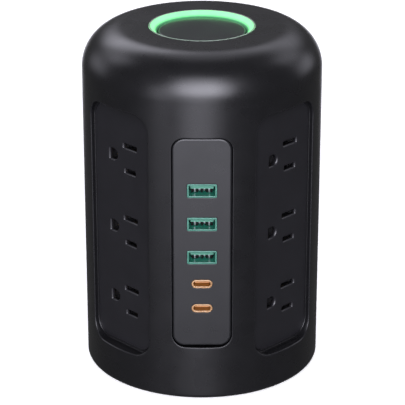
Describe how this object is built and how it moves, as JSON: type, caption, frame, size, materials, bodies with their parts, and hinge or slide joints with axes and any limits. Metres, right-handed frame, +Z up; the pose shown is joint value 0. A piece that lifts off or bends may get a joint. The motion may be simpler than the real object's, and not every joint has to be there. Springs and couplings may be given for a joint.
{
  "type": "tower power strip",
  "caption": "Round tower power strip with columns of grounded mains outlets, a front panel of USB charging ports and a lit ring round the master button on top.",
  "frame": {"origin": "on the floor under the middle of the tower, level with the undersides of the rubber feet", "axes": "+Z up the tower's axis; -Y towards the front, where the charging panel is; +X to the right as seen from the front"},
  "size_m": [0.118, 0.118, 0.175],
  "materials": {
    "housing_plastic": "fine-textured moulding",
    "panel_plastic": "fine-textured moulding",
    "button_plastic": "satin",
    "charging_plastic": "fine-textured moulding",
    "black_rubber": "matt",
    "carrier_plastic": "as moulded",
    "contact_brass": "stamped sheet",
    "zinc_steel": "zinc plated",
    "green_plastic": "moulded",
    "green_tongue": "moulded",
    "orange_plastic": "moulded",
    "orange_tongue": "moulded",
    "circuit_board": "solder mask",
    "yellow_tape": "tape wound",
    "capacitor_sleeve": "sleeved can",
    "varistor_blue": "epoxy dipped",
    "fuse_white": "moulded",
    "wire_jacket": "insulation",
    "ring_diffuser": "lit translucent moulding",
    "led_white": "moulded lens",
    "switch_black": "moulded",
    "reset_red": "moulded"
  },
  "bodies": {
    "tower": {"main_housing": "housing_plastic", "base_plate": "housing_plastic", "rubber_feet": "black_rubber", "base_screws": "zinc_steel", "outlet_panel_front_right": "panel_plastic", "outlet_panel_back_right": "panel_plastic", "outlet_panel_back_left": "panel_plastic", "outlet_panel_front_left": "panel_plastic", "contact_carrier_front_right": "carrier_plastic", "contact_carrier_back_right": "carrier_plastic", "contact_carrier_back_left": "carrier_plastic", "contact_carrier_front_left": "carrier_plastic", "neutral_strip_front_right": "contact_brass", "neutral_strip_back_right": "contact_brass", "neutral_strip_back_left": "contact_brass", "neutral_strip_front_left": "contact_brass", "hot_strip_front_right": "contact_brass", "hot_strip_back_right": "contact_brass", "hot_strip_back_left": "contact_brass", "hot_strip_front_left": "contact_brass", "ground_strip_front_right": "contact_brass", "ground_strip_back_right": "contact_brass", "ground_strip_back_left": "contact_brass", "ground_strip_front_left": "contact_brass", "neutral_bus_ring": "contact_brass", "hot_bus_ring": "contact_brass", "ground_bus_ring": "contact_brass", "short_screws": "zinc_steel", "charging_panel": "charging_plastic", "charging_board": "circuit_board", "charging_transformer": "yellow_tape", "charging_capacitors": "capacitor_sleeve", "usb_a_shell_1": "green_plastic", "usb_a_shell_2": "green_plastic", "usb_a_shell_3": "green_plastic", "usb_a_tongue_1": "green_tongue", "usb_a_tongue_2": "green_tongue", "usb_a_tongue_3": "green_tongue", "usb_a_contacts": "zinc_steel", "usb_c_shell_1": "orange_plastic", "usb_c_shell_2": "orange_plastic", "usb_c_tongue_1": "orange_tongue", "usb_c_tongue_2": "orange_tongue", "service_plate": "panel_plastic", "cord_gland": "black_rubber", "breaker_body": "switch_black", "breaker_nut": "zinc_steel", "surge_board": "circuit_board", "surge_varistors": "varistor_blue", "surge_fuse": "fuse_white", "internal_wires": "wire_jacket", "light_ring": "ring_diffuser", "led_board": "circuit_board", "ring_leds": "led_white", "button_guide": "housing_plastic", "button_spring": "zinc_steel", "switch_body": "switch_black"},
    "power_button": {"power_button": "button_plastic"},
    "switch_plunger": {"switch_plunger": "carrier_plastic"},
    "breaker_button": {"breaker_button": "reset_red"}
  },
  "joints": [
    {"name": "button_press", "type": "slide", "parent": "tower", "child": "power_button", "axis": [0, 0, -1], "range_m": [0, 0.0025], "stiffness_N_per_m": 400, "springref_m": -0.002, "deforming": ["button_spring"]},
    {"name": "plunger_slide", "type": "slide", "parent": "tower", "child": "switch_plunger", "axis": [0, 0, -1], "range_m": [0, 0.0025]},
    {"name": "breaker_trip", "type": "slide", "parent": "tower", "child": "breaker_button", "axis": [0, 1, 0], "range_m": [0, 0.0025]}
  ],
  "couplings": [
    {"joint": "plunger_slide", "follows": "button_press", "ratio": 1}
  ]
}
